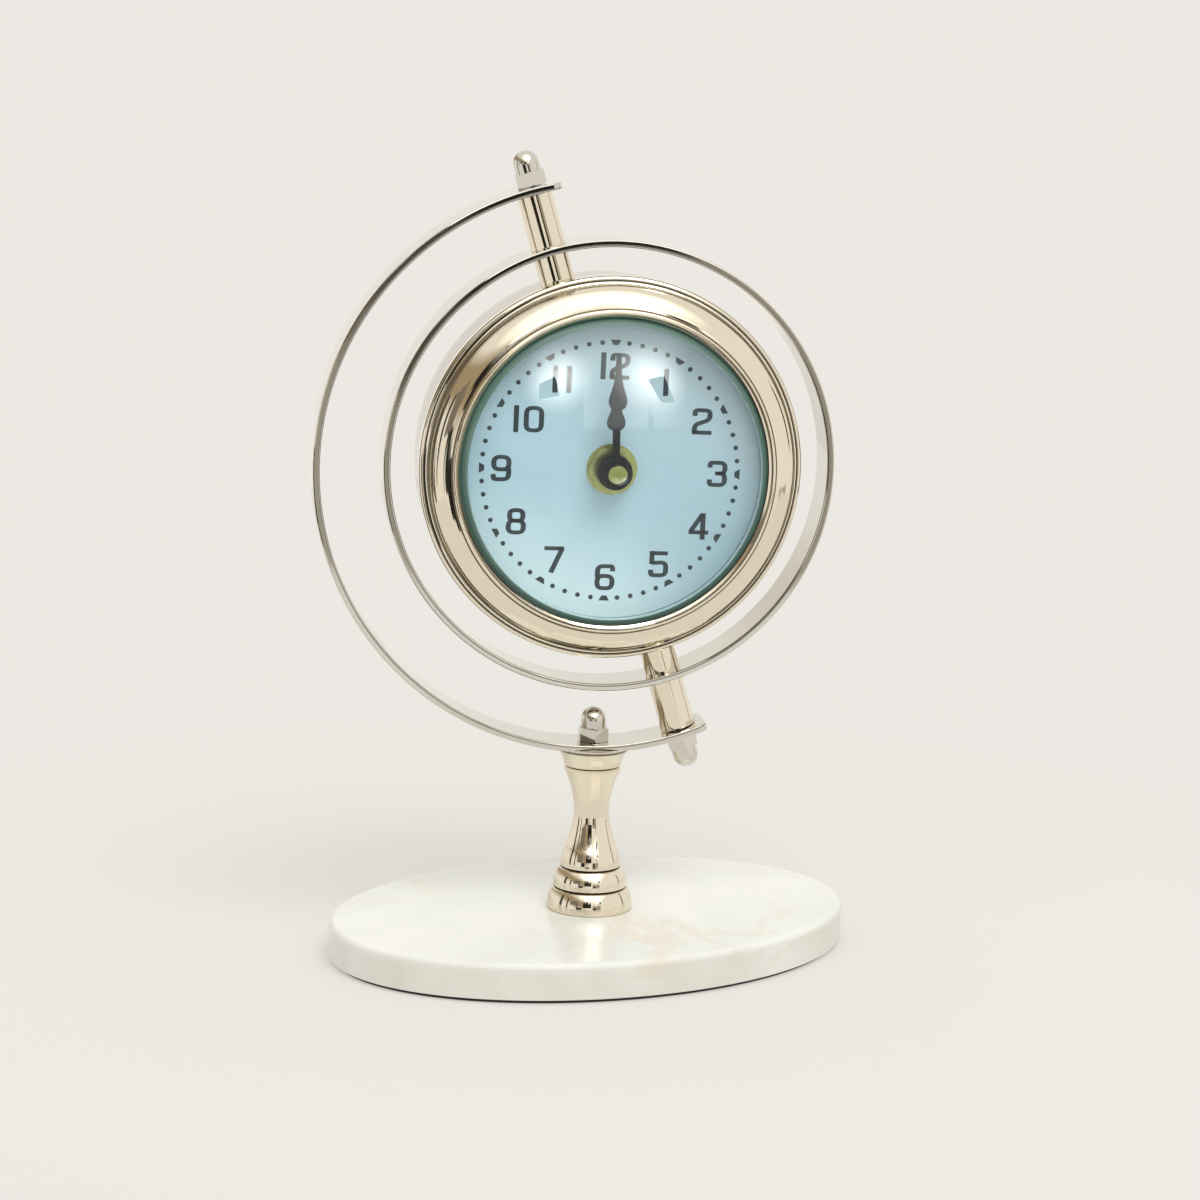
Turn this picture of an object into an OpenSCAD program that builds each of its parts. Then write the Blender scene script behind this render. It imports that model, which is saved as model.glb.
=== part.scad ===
// Desk clock carried like a globe: a drum clock inside a metal ring, hung on a leaning axis
// in a half-circle arm, on a turned pillar and an oval marble base.
// The frame's origin is the middle of the felt's underside, the dial faces -Y and Z is up.

/* [Base] */
// Length of the marble oval
base_l = 152; // [140:1:170]
// Width of the marble oval
base_w = 108; // [96:1:120]
// Thickness of the marble
base_t = 10; // [9:0.5:14]
// How far the oval is turned away from the dial, in degrees
base_turn = 17; // [0:1:45]
// Radius of the marble's rounded upper edge
base_round = 1.8; // [0.8:0.1:2.6]
// Thickness of the felt under the marble
felt_t = 1.2; // [0.8:0.1:2]
// How far the felt stays inside the marble's edge
felt_inset = 1.6; // [0.8:0.1:4]

/* [Pillar] */
// Height of the pillar from the marble to the lowest point of the arm
pillar_h = 46.3; // [42:0.1:52]
// Radius of the foot on the marble
foot_r = 12.1; // [11.2:0.1:13.4]
// Height of the lower foot ring
foot_ring_h = 6.3; // [5.6:0.1:7]
// Height of the upper foot ring
mid_ring_h = 5.8; // [5:0.1:6.4]
// Radius of the waist
waist_r = 5; // [4.6:0.1:5.8]
// Radius of the cap's rim
cap_r = 10.3; // [9.8:0.1:11]
// Height of the flared cap above its groove
cap_h = 5; // [4.4:0.1:5.8]
// Depth of the dish in the top of the cap
cap_dish = 2.4; // [1.8:0.1:3]

/* [Arm and ring] */
// Width of the strip that arm and ring are bent from
strip_w = 15; // [13:0.5:17]
// Thickness of that strip
strip_t = 2; // [1.6:0.1:2.4]
// Lean of the clock's axis to the left, in degrees
axis_lean = 16.4; // [0:0.1:23.5]
// How far the axis passes the middle of the arm
axis_offset = 2.2; // [0:0.1:3]
// How far the arm runs past the axis at each end
arm_end_run = 7.4; // [7:0.1:9]
// Radius of the corners at the arm's ends
arm_corner_r = 3; // [1.5:0.1:4]
// Free space between arm and ring
arm_gap = 15.1; // [14:0.1:18]
// Free space between ring and case
ring_gap = 8.4; // [7.6:0.1:9.4]

/* [Tubes, rods and nuts] */
// Outer diameter of the spacer tubes
tube_d = 9.8; // [9:0.1:11]
// Diameter of the tie rod and the pivot rods
rod_d = 5; // [4.6:0.1:5.4]
// Size across the flats of all hexagon nuts
nut_af = 8; // [7.8:0.1:9]
// Height of the hexagon of an acorn nut
acorn_hex_h = 3.8; // [3.4:0.1:4.4]
// Whole height of an acorn nut
acorn_h = 9.7; // [9.2:0.1:10.6]
// Diameter of an acorn nut's dome
acorn_dome_d = 7.1; // [6.8:0.1:7.5]
// Height of the plain nuts
nut_h = 3.6; // [3:0.1:4]
// Diameter of the washer under the base nut
base_washer_d = 14; // [12.5:0.5:16]

/* [Case] */
// Radius of the drum case
case_r = 52.3; // [50:0.1:55]
// Distance from the axis to the front edge of the case
case_front = 7.8; // [7.5:0.1:9]
// Distance from the axis to the back edge of the case
case_back = 16; // [12:0.5:20]
// Wall of the case
case_wall = 0.8; // [0.6:0.1:1.1]
// Width of the lip that is turned in at the back
case_lip = 2.7; // [2:0.1:3.4]
// Width of the flange that the dial lies on
dial_seat = 5.1; // [4:0.1:6]

/* [Bezel and glass] */
// Width of the bezel from its rim to its opening
bezel_w = 10.45; // [9.8:0.05:11.6]
// Height of the bezel above the case's front edge
bezel_h = 8.6; // [8:0.1:9.4]
// Thickness of the bezel's metal at the skirt
bezel_wall = 0.7; // [0.6:0.1:0.9]
// Thickness of the glass
glass_t = 2.4; // [2:0.1:2.7]
// Rise of the glass from its rim to its middle
dome_h = 9.9; // [9.4:0.1:11]
// Width of the bevel ground on the glass's edge
bevel_w = 2.1; // [1.6:0.1:2.6]

/* [Dial and hands] */
// Thickness of the dial
dial_t = 0.5; // [0.4:0.05:0.7]
// Distance from the minute hand's tip to the bezel's opening
minute_gap = 10; // [8.6:0.1:14]
// Distance from the hour hand's tip to the bezel's opening
hour_gap = 18; // [16.6:0.1:22]
// Widest part of each hand's spade
spade_w = 5.1; // [4.4:0.1:5.6]
// Thickness of the hands
hand_t = 0.5; // [0.3:0.05:0.6]
// Radius of the hour hand's round eye
hub_r = 4.8; // [4.3:0.1:5.2]
// Radius of the nut that holds the movement to the dial
post_nut_r = 6.6; // [6:0.1:7.2]
// Height of that nut
post_nut_h = 2.2; // [1.8:0.1:2.6]

/* [Movement] */
// Side of the square movement housing
mv_w = 56; // [54:0.5:58]
// Thickness of the movement housing
mv_t = 14.6; // [14.4:0.1:15.4]
// Wall of the movement housing
mv_wall = 1.4; // [1.1:0.1:1.5]
// Radius of the setting knob
knob_r = 7; // [5.5:0.1:8]
// Height of the setting knob behind the housing
knob_h = 2.6; // [2:0.1:3.4]

/* [Hidden] */
$fn = 96;

// Colours of the finishes
nickel = [0.80, 0.76, 0.68];
brass = [0.72, 0.60, 0.30];
steel = [0.62, 0.63, 0.64];
marble = [0.93, 0.92, 0.87];
black = [0.08, 0.08, 0.09];
white_plastic = [0.90, 0.90, 0.88];

// Overrun of every cut, so that no cut ends flush with a face
over = 1;
// Radial running clearance of rods, arbors and pipes
run_gap = 0.05;
// Play between faces that turn past each other
play = 0.1;
// Radial clearance in a threaded hole
thread_gap = 0.05;
// Radial clearance of a hole that a rod passes without touching
pass_gap = 0.35;
// Clearance between pieces that are dropped into one another
drop_gap = 0.2;

// Where the main pieces lie, upwards from the desk
rod_r = rod_d/2;
tube_r = tube_d/2;
flat_r = nut_af/2;
hex_r = flat_r/cos(30);
marble_top = felt_t + base_t;
case_in_r = case_r - case_wall;
rim_r = case_r + run_gap + bezel_wall;
glass_r = rim_r - bezel_w;
ring_in_r = case_r + ring_gap;
ring_r = ring_in_r + strip_t;
arm_in_r = ring_r + arm_gap;
arm_r = arm_in_r + strip_t;
arm_z = marble_top + pillar_h + arm_r;
centre_x = axis_offset*cos(axis_lean);
centre_z = arm_z + axis_offset*sin(axis_lean);

// A smooth bowed line from p to q in n steps, which stands out by bulge to its right
function bowed(p, q, bulge, n = 10) =
    let (d = q - p, side = [d[1], -d[0]]/norm(d))
    [for (i = [0:n]) let (t = i/n) p + d*t + side*4*bulge*t*(1 - t)];

// The points of an oval with half axes a and b
function oval_points(a, b, n = 120) = [for (i = [0:n - 1]) [a*cos(360*i/n), b*sin(360*i/n)]];

// The clock's own frame: origin in the middle of the ring, Z up
module at_centre() translate([centre_x, 0, centre_z]) children();

// The same place with Z along the leaning axis
module at_axis() at_centre() rotate([0, -axis_lean, 0]) children();

// Both ends of the leaning axis, the lower one turned half round
module both_ends() for (turn = [0, 180]) at_axis() rotate([0, turn, 0]) children();

// A drawing seen from the front: its X stays, its Y points up and its Z comes towards the viewer
module facing() rotate([90, 0, 0]) children();

// A piece of the clock, drawn from the front with its Z measured forward from the axis
module clock_piece() at_centre() facing() children();

module cyl(r, z0, z1) translate([0, 0, z0]) cylinder(r = r, h = z1 - z0);

module tube(r_out, r_in, z0, z1) difference() {
    cyl(r_out, z0, z1);
    cyl(r_in, z0 - over, z1 + over);
}

// Base

// Depth of the counterbore that hides the washer and the nut
base_washer_t = 1;
base_bore_gap = 1;
counterbore_r = base_washer_d/2 + base_bore_gap;
counterbore_h = base_washer_t + nut_h + base_bore_gap;
// Steps of the marble's rounded edge
base_round_steps = 5;

module oval_slab(inset, z0, z1) translate([0, 0, z0]) linear_extrude(z1 - z0)
    polygon(oval_points(base_l/2 - inset, base_w/2 - inset));

module felt_pad() color([0.07, 0.07, 0.07]) rotate([0, 0, base_turn]) oval_slab(felt_inset, 0, felt_t);

// One hull rounds the upper edge: thin slices follow a quarter circle
module marble_base() color(marble) difference() {
    rotate([0, 0, base_turn]) hull() {
        oval_slab(0, felt_t, marble_top - base_round);
        for (i = [1:base_round_steps]) let (a = 90*i/base_round_steps, z = base_round*sin(a))
            oval_slab(base_round*(1 - cos(a)), marble_top - base_round, marble_top - base_round + z);
    }
    cyl(rod_r + pass_gap, 0, marble_top + over);
    cyl(counterbore_r, felt_t - over, felt_t + counterbore_h);
}

base_washer_z = felt_t + counterbore_h - base_washer_t;
base_nut_z = base_washer_z - nut_h;

module base_washer() color(steel) tube(base_washer_d/2, rod_r + pass_gap/2, base_washer_z,
    base_washer_z + base_washer_t);

// A hexagon nut with both ends chamfered, standing on z0, with one corner towards the viewer
hex_chamfer = 0.5;
hex_turn = 30;

module hex_body(h, z0, lower = true) translate([0, 0, z0]) intersection() {
    rotate([0, 0, hex_turn]) cylinder(r = hex_r, h = h, $fn = 6);
    rotate_extrude() polygon([[0, 0], [lower ? hex_r - hex_chamfer : hex_r, 0],
        if (lower) [hex_r, hex_chamfer*tan(30)], [hex_r, h - hex_chamfer*tan(30)],
        [hex_r - hex_chamfer, h], [0, h]]);
}

module plain_nut(z0) difference() {
    hex_body(nut_h, z0);
    cyl(rod_r + thread_gap, z0 - over, z0 + nut_h + over);
}

module base_nut() color(steel) plain_nut(base_nut_z);

// Acorn nut

// Depth of the blind thread in an acorn nut and how deep a rod goes into it
acorn_bore_share = 0.78;
acorn_bore_h = acorn_h*acorn_bore_share;
rod_in_nut = acorn_bore_h - play*4;
acorn_dome_r = acorn_dome_d/2;

module acorn_nut(z0) difference() {
    union() {
        hex_body(acorn_hex_h, z0);
        cyl(acorn_dome_r, z0, z0 + acorn_h - acorn_dome_r);
        translate([0, 0, z0 + acorn_h - acorn_dome_r]) sphere(r = acorn_dome_r);
    }
    cyl(rod_r + thread_gap, z0 - over, z0 + acorn_bore_h);
}

// Tie rod and the nut that it ends in, which stands on the arm's hollow side by two of its flats
pillar_nut_z = arm_z - sqrt(pow(arm_in_r, 2) - pow(flat_r, 2));

module tie_rod() color(steel) cyl(rod_r, base_nut_z, pillar_nut_z + rod_in_nut);

module pillar_nut() color(nickel) acorn_nut(pillar_nut_z);

// Pillar

// Width and depth of the turned grooves
groove_w = 0.7;
groove_d = 0.6;
// Radii of the turned rings, as shares of the foot's radius
foot_top_share = 0.89;
mid_low_share = 0.86;
mid_top_share = 0.74;
bell_share = 0.705;
// Radius of the collar under the cap, as a share of the cap's radius
collar_share = 0.79;
// Height of the waist, as a share of the pillar's height
waist_share = 0.58;
// Where the bell turns from bowed out to bowed in, as shares of its height and of its narrowing
bell_h_share = 0.4;
bell_r_share = 0.37;
// Height of the collar under the cap, as a share of the cap's height
collar_h_share = 0.2;
// How far the turned lines bow, as shares of the foot's radius
foot_bow_share = 0.035;
bell_bow_share = 0.022;
waist_bow_share = 0.075;
cap_bow_share = 0.03;
dish_bow_share = 0.04;
pillar_bore_r = rod_r + pass_gap;
cap_rim_w = 0.6;

foot_top = foot_ring_h;
mid_top = foot_top + mid_ring_h;
waist_h = pillar_h*waist_share;
bell_h = mid_top + (waist_h - mid_top)*bell_h_share;
bell_r = foot_r*bell_share - (foot_r*bell_share - waist_r)*bell_r_share;
// The rim stands above the arm's lowest point, by as much as the strip has risen at the rim
cap_top = pillar_h + arm_r - sqrt(pow(arm_r, 2) - pow(cap_r, 2));
collar_h = pillar_h - cap_h;
collar_low = collar_h - cap_h*collar_h_share;

pillar_outline = concat(
    [[pillar_bore_r, 0], [foot_r - groove_d/2, 0]],
    bowed([foot_r, groove_w/2], [foot_r*foot_top_share, foot_top - groove_w/2], foot_r*foot_bow_share),
    [[foot_r*mid_low_share - groove_d, foot_top], [foot_r*mid_low_share, foot_top + groove_w/2]],
    bowed([foot_r*mid_low_share, foot_top + groove_w], [foot_r*mid_top_share, mid_top - groove_w/2],
        foot_r*foot_bow_share),
    [[foot_r*bell_share - groove_d, mid_top]],
    bowed([foot_r*bell_share, mid_top + groove_w/2], [bell_r, bell_h], foot_r*bell_bow_share),
    bowed([bell_r, bell_h], [waist_r, waist_h], -foot_r*bell_bow_share),
    bowed([waist_r, waist_h], [cap_r*collar_share, collar_low], -foot_r*waist_bow_share),
    [[cap_r*collar_share, collar_h - groove_w/2], [cap_r*collar_share - groove_d, collar_h]],
    bowed([cap_r*collar_share, collar_h + groove_w/2], [cap_r, cap_top - cap_rim_w], -foot_r*cap_bow_share),
    [[cap_r, cap_top], [cap_r - cap_rim_w, cap_top]],
    bowed([cap_r - cap_rim_w, cap_top - cap_rim_w/2], [pillar_bore_r + cap_rim_w, cap_top - cap_dish],
        cap_r*dish_bow_share),
    [[pillar_bore_r, cap_top - cap_dish]]);

module pillar() color(nickel) difference() {
    translate([0, 0, marble_top]) rotate_extrude() polygon(pillar_outline);
    translate([0, 0, arm_z]) facing() cylinder(r = arm_r, h = strip_w*2, center = true);
}

// Meridian arm and ring

// Angle by which each end of the arm passes the upright through the arm's middle
arm_end_angle = asin((axis_offset + arm_end_run)/arm_r);

// Radius of the strip's softened long edges
strip_edge_r = 0.4;

// The strip in section, with its outer face at r
module strip_section(r) polygon([for (c = [[1, 1, 0], [0, 1, 90], [0, -1, 180], [1, -1, 270]])
    for (a = [0:30:90]) [r - strip_t + c[0]*(strip_t - 2*strip_edge_r) + strip_edge_r + strip_edge_r*cos(c[2] + a),
        c[1]*(strip_w/2 - strip_edge_r) + strip_edge_r*sin(c[2] + a)]]);

module strip_arc(r, from, span) rotate([0, 0, from]) rotate_extrude(angle = span) strip_section(r);

// The corner's arc is a little wider than its distance from the edges, so that it crosses them
corner_ease = 1.03;

// What is taken off the strip's end corners, as seen along the strip's thickness
module corner_cuts() for (side = [-1, 1]) translate([0, side*(strip_w/2 - arm_corner_r)]) difference() {
    translate([0, side < 0 ? -arm_corner_r - over : 0]) square([arm_corner_r + over, arm_corner_r + over]);
    circle(r = arm_corner_r*corner_ease);
}

// The cutter stands across the strip at one end, drawn in the arm's frame as seen from the front
module end_cutter() translate([arm_r*sin(arm_end_angle), arm_r*cos(arm_end_angle), 0])
    rotate([0, 0, -arm_end_angle]) rotate([90, 0, 0])
        translate([-arm_corner_r, 0, -strip_t]) linear_extrude(strip_t*4) corner_cuts();

module meridian_arm() color(nickel) difference() {
    at_axis() translate([-axis_offset, 0, 0]) facing() difference() {
        strip_arc(arm_r, 90 - arm_end_angle, 180 + 2*arm_end_angle);
        end_cutter();
        mirror([0, 1, 0]) end_cutter();
    }
    at_axis() cyl(rod_r + run_gap, -arm_r - over, arm_r + over);
    cyl(rod_r + pass_gap, marble_top + pillar_h - over, pillar_nut_z + over);
}

module ring() color(nickel) at_axis() difference() {
    facing() rotate_extrude() strip_section(ring_r);
    cyl(rod_r + run_gap, -ring_r - over, ring_r + over);
}

// Axis: spacer tubes, pivot rods and their nuts

tube_bore_r = rod_r + pass_gap;
// The flat tube end must pass the arm's hollow side all round
outer_tube_end = sqrt(pow(arm_in_r, 2) - pow(axis_offset + tube_r, 2)) - play;
axis_nut_z = arm_r + play;
// Two flats of the lock nut touch the curved wall inside the case
lock_nut_end = sqrt(pow(case_in_r, 2) - pow(flat_r, 2));
rod_inner_end = lock_nut_end - nut_h - play*4;

module outer_tubes() color(nickel) difference() {
    both_ends() cyl(tube_r, ring_in_r, outer_tube_end);
    both_ends() cyl(tube_bore_r, 0, arm_r);
    at_centre() facing() cylinder(r = ring_r, h = strip_w*2, center = true);
}

module inner_tubes() color(nickel) difference() {
    intersection() {
        both_ends() cyl(tube_r, case_in_r, ring_r);
        at_centre() facing() cylinder(r = ring_in_r, h = strip_w*2, center = true);
    }
    both_ends() cyl(tube_bore_r, 0, ring_r);
    at_centre() facing() cylinder(r = case_r, h = strip_w*2, center = true);
}

module pivot_rods() color(steel) both_ends() cyl(rod_r, rod_inner_end, axis_nut_z + rod_in_nut);

module axis_nuts() color(nickel) both_ends() acorn_nut(axis_nut_z);

module lock_nuts() color(steel) both_ends() plain_nut(lock_nut_end - nut_h);

// Drum case and bezel

case_round = case_wall;
seat_r = case_in_r + case_wall - dial_seat;
lip_r = case_r - case_lip;

case_outline = concat(
    [[seat_r, case_front], [seat_r, case_front - case_wall], [case_in_r, case_front - case_wall],
        [case_in_r, case_wall - case_back], [lip_r, case_wall - case_back], [lip_r, -case_back]],
    bowed([case_r - case_round, -case_back], [case_r, case_round - case_back], case_round*0.2, 6),
    [[case_r, case_front]]);

module drum_case() color(nickel) difference() {
    clock_piece() rotate_extrude() polygon(case_outline);
    at_axis() cyl(rod_r + run_gap, -case_r - over, case_r + over);
}

// Levels, measured forward from the axis
dial_front = case_front + dial_t;
bead_top = case_front + bezel_h;
// Thickness of the bezel's lip over the glass and of the seal under it
lip_t = 0.9;
seal_t = 0.5;
lip_under = bead_top - lip_t;
glass_flange_top = lip_under - seal_t;
// Width of the glass's flange under the bezel's lip
glass_flange = 1.8;
glass_edge_r = glass_r + glass_flange;
glass_neck_gap = 0.35;
dial_r = case_in_r - case_wall*2;
// Radii of the bezel's turned lines, as shares of the way from the rim to the opening
bead_in_share = 0.1;
face_out_share = 0.22;
face_in_share = 0.78;
line_share = 0.93;
// Levels of those lines, as shares of the bezel's height
ridge_share = 0.14;
cove_share = 0.22;
face_low_share = 0.4;
face_top_share = 0.92;
// How far the face, the cove and the beads bow, as shares of the bezel's height
face_bow_share = 0.1;
cove_bow_share = 0.04;
bead_bow_share = 0.05;
// Width and depth of the fine line in the inner bead
line_w = 0.3;
line_d = 0.15;

function bezel_r(share) = rim_r + (glass_r - rim_r)*share;
function bezel_z(share) = case_front + bezel_h*share;

// The skirt slips over the case and ends just in front of the inner tubes
skirt_end = tube_r + drop_gap;

bezel_outline = concat(
    [[case_r + run_gap, skirt_end], [rim_r, skirt_end]],
    bowed([rim_r, case_front], [bezel_r(bead_in_share), bezel_z(ridge_share)], bezel_h*bead_bow_share, 8),
    bowed([bezel_r(bead_in_share) - line_w/2, bezel_z(ridge_share) - line_d],
        [bezel_r(face_out_share), bezel_z(cove_share)], -bezel_h*cove_bow_share, 6),
    bowed([bezel_r(face_out_share), bezel_z(face_low_share)], [bezel_r(face_in_share), bezel_z(face_top_share)],
        bezel_h*face_bow_share, 14),
    bowed([bezel_r(face_in_share) - line_w, bezel_z(face_top_share) - line_w],
        [bezel_r(line_share) + line_w/2, bead_top], bezel_h*bead_bow_share, 8),
    [[bezel_r(line_share), bead_top - line_d], [bezel_r(line_share) - line_w/2, bead_top],
        [glass_r, bead_top - lip_t/2], [glass_r, lip_under], [glass_edge_r + run_gap, lip_under],
        [glass_edge_r + run_gap, glass_flange_top - glass_t],
        [dial_r + drop_gap, bezel_z(face_low_share) - bezel_wall*1.5], [dial_r + drop_gap, case_front],
        [case_r + run_gap, case_front]]);

module bezel() color(nickel) clock_piece() rotate_extrude() polygon(bezel_outline);

// Glass, with its seal in front and its spacer behind

glass_flange_z = glass_flange_top - glass_t*0.7;
glass_top = glass_flange_top + dome_h;
bevel_r = glass_r - glass_neck_gap - bevel_w;
bevel_top = glass_flange_top + bevel_w;
// Radius of the sphere that the glass's front follows
glass_sphere_r = (pow(bevel_r, 2) + pow(glass_top - bevel_top, 2))/2/(glass_top - bevel_top);

module glass() color([0.75, 0.85, 0.82, 0.35]) clock_piece() difference() {
    union() {
        cyl(glass_edge_r, glass_flange_z, glass_flange_top);
        intersection() {
            rotate_extrude() polygon([[0, glass_flange_z], [glass_r - glass_neck_gap, glass_flange_z],
                [glass_r - glass_neck_gap, glass_flange_top], [bevel_r, bevel_top], [bevel_r, glass_top + over],
                [0, glass_top + over]]);
            translate([0, 0, glass_top - glass_sphere_r]) sphere(r = glass_sphere_r, $fn = 180);
        }
    }
    intersection() {
        translate([0, 0, glass_top - glass_sphere_r]) sphere(r = glass_sphere_r - glass_t, $fn = 180);
        cyl(bevel_r, glass_flange_z - over, glass_top);
    }
}

module glass_seal() color(black) clock_piece()
    tube(glass_edge_r, glass_r - glass_neck_gap/2, glass_flange_top, lip_under);

module glass_spacer() color(white_plastic) clock_piece()
    tube(glass_edge_r - drop_gap, glass_edge_r - glass_flange, dial_front, glass_flange_z);

// Dial and the parts that clamp it to the movement

post_r = 4;
pipe_r = 2.6;
washer_t = 0.4;
post_end = dial_front + washer_t + post_nut_h + dial_t;

module dial() color([0.70, 0.84, 0.88]) clock_piece() tube(dial_r, post_r + thread_gap, case_front, dial_front);

module post_washer() color(brass) clock_piece()
    tube(post_nut_r + washer_t, post_r + thread_gap, dial_front, dial_front + washer_t);

// A round nut with flats for a spanner, cut by a hexagon a little smaller than its rim
module post_nut() color(brass) clock_piece() difference() {
    intersection() {
        cyl(post_nut_r, dial_front + washer_t, dial_front + washer_t + post_nut_h);
        translate([0, 0, dial_front + washer_t]) cylinder(r = post_nut_r + washer_t, h = post_nut_h, $fn = 6);
    }
    cyl(post_r + thread_gap, dial_front, post_end + over);
}

// Movement housing

mv_front = case_front;
mv_back = mv_front - mv_t;
mv_in_front = mv_front - mv_wall;
mv_in_back = mv_back + mv_wall;
mv_corner_r = 3;
// Diameter of the battery, the play in its bay, its contacts' sheet and the reach of the spring leaf
battery_d = 14.2;
battery_play = 0.3;
contact_t = 0.4;
leaf_reach = 2.6;
bay_top = -mv_w/2 + mv_wall + battery_d + 2*battery_play;
bay_l = mv_w - 2*mv_wall;
battery_l = bay_l - contact_t - leaf_reach;
boss_r = 2;
boss_x = mv_w/2 - mv_wall - boss_r;
boss_z = mv_w/2 - mv_wall - boss_r;
boss_low_z = bay_top + mv_wall + boss_r;

// Thickness of a wheel, the gap to the next one and the coil's radius, as shares of the inner depth
wheel_share = 0.068;
layer_share = 0.042;
coil_share = 0.246;
mv_depth = mv_t - 2*mv_wall;
wheel_t = mv_depth*wheel_share;
layer_gap = mv_depth*layer_share;
plate_t = wheel_t;

// Levels of the wheels inside the housing, from the front to the back
hour_wheel_z = mv_in_front - layer_gap - wheel_t;
motion_z = hour_wheel_z - layer_gap - wheel_t;
plate_z = motion_z - layer_gap - plate_t;
centre_wheel_z = plate_z - layer_gap - wheel_t;
third_wheel_z = centre_wheel_z - layer_gap - wheel_t;
fourth_wheel_z = third_wheel_z - layer_gap - wheel_t;

module rounded_plate(w, h, r) polygon([for (c = [[1, 1, 0], [-1, 1, 90], [-1, -1, 180], [1, -1, 270]])
    for (a = [0:15:90]) [c[0]*(w/2 - r) + r*cos(c[2] + a), c[1]*(h/2 - r) + r*sin(c[2] + a)]]);

// Teeth

// Height of a tooth above and below the pitch circle, as shares of the module
addendum_share = 0.9;
dedendum_share = 1.15;
// Width of a tooth at its root and its tip, as shares of half a pitch
root_share = 0.65;
tip_share = 0.25;

function tooth_points(n, m, k) = let (a = 360*k/n, p = 180/n, low = n*m/2 - dedendum_share*m,
    high = n*m/2 + addendum_share*m) [for (c = [[low, -root_share], [high, -tip_share], [high, tip_share],
    [low, root_share]]) c[0]*[cos(a + p*c[1]), sin(a + p*c[1])]];

module toothed(n, m, phase, z0, z1) translate([0, 0, z0]) rotate([0, 0, phase])
    linear_extrude(z1 - z0) polygon([for (k = [0:n - 1]) each tooth_points(n, m, k)]);

// Angle of the second wheel's first tooth, so that it meshes with the first in direction a
function meshed(a, phase, n1, n2) = a + 180 + (a - phase)*n1/n2 - 180/n2;

// Motion work: 10 drives 30, and 8 on its arbor drives 32, which makes one twelfth
cannon_n = 10;
motion_n = 30;
motion_pinion_n = 8;
hour_n = 32;
setting_n = 10;
// Going train: the centre wheel of 64 meets a pinion of 8, and so do the third and fourth wheels of 60
centre_n = 64;
train_n = 60;
train_pinion_n = 8;

motion_dir = 150;
setting_dir = 180;
third_dir = 30;
fourth_dir = 110;
rotor_dir = 180;

// The module of the train is the largest that keeps the centre wheel off the wall below it
// and the fourth wheel off the wall above it
wheel_gap = 0.53;
room_low = -bay_top - mv_wall;
room_high = mv_w/2 - mv_wall;
train_reach = (centre_n + train_pinion_n)/2*sin(third_dir) + (train_n + train_pinion_n)/2*sin(fourth_dir)
    + train_n/2 + addendum_share;
train_m = min((room_low - wheel_gap)/(centre_n/2 + addendum_share), (room_high - wheel_gap)/train_reach);
// The motion work's teeth are coarser than the train's in this ratio
motion_ratio = 4/3;
motion_m = train_m*motion_ratio;

motion_at = motion_m*(cannon_n + motion_n)/2*[cos(motion_dir), sin(motion_dir)];
setting_at = motion_at + motion_m*(motion_n + setting_n)/2*[cos(setting_dir), sin(setting_dir)];
third_at = train_m*(centre_n + train_pinion_n)/2*[cos(third_dir), sin(third_dir)];
fourth_at = third_at + train_m*(train_n + train_pinion_n)/2*[cos(fourth_dir), sin(fourth_dir)];
rotor_at = fourth_at + train_m*(train_n + train_pinion_n)/2*[cos(rotor_dir), sin(rotor_dir)];

cannon_phase = motion_dir;
motion_phase = meshed(motion_dir, cannon_phase, cannon_n, motion_n);
motion_pinion_phase = motion_dir + 180;
hour_phase = meshed(motion_dir + 180, motion_pinion_phase, motion_pinion_n, hour_n);
setting_phase = meshed(setting_dir, motion_phase, motion_n, setting_n);
centre_phase = third_dir;
third_pinion_phase = meshed(third_dir, centre_phase, centre_n, train_pinion_n);
third_phase = fourth_dir;
fourth_pinion_phase = meshed(fourth_dir, third_phase, train_n, train_pinion_n);
fourth_phase = rotor_dir;
rotor_phase = meshed(rotor_dir, fourth_phase, train_n, train_pinion_n);

// Radii of the arbors, which stay inside the roots of their pinions, and of the pivots that they end in
root_step = 0.055;
pivot_share = 0.625;
arbor_r = (train_pinion_n/2 - dedendum_share)*train_m - root_step;
pivot_r = arbor_r*pivot_share;
minute_r = (cannon_n/2 - dedendum_share)*motion_m - root_step;
setting_shaft_r = (setting_n/2 - 1)*motion_m;
// Depth of a pivot's hole
pivot_h = 0.8;

module at_place(p) translate([p[0], p[1], 0]) children();

module movement_housing() color(black) clock_piece() difference() {
    union() {
        difference() {
            translate([0, 0, mv_back]) linear_extrude(mv_t) rounded_plate(mv_w, mv_w, mv_corner_r);
            // Hollow for the train, open at the back
            translate([-bay_l/2, bay_top + mv_wall, mv_back - over])
                cube([bay_l, mv_w/2 - mv_wall - bay_top - mv_wall, mv_t + over - mv_wall]);
            // Bay for the battery, open at the back
            translate([-bay_l/2, -mv_w/2 + mv_wall, mv_back - over])
                cube([bay_l, bay_top + mv_w/2 - mv_wall, mv_t + over - mv_wall]);
        }
        cyl(post_r, mv_in_front, post_end);
        for (x = [-boss_x, boss_x], z = [boss_low_z, boss_z]) translate([x, z, 0])
            cyl(boss_r, plate_z + plate_t, mv_front - mv_wall/2);
    }
    cyl(pipe_r + run_gap, 0, post_end + over);
    for (p = [motion_at, setting_at]) at_place(p) cyl(pivot_r + run_gap, mv_in_front - over, mv_in_front + pivot_h);
}

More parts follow.
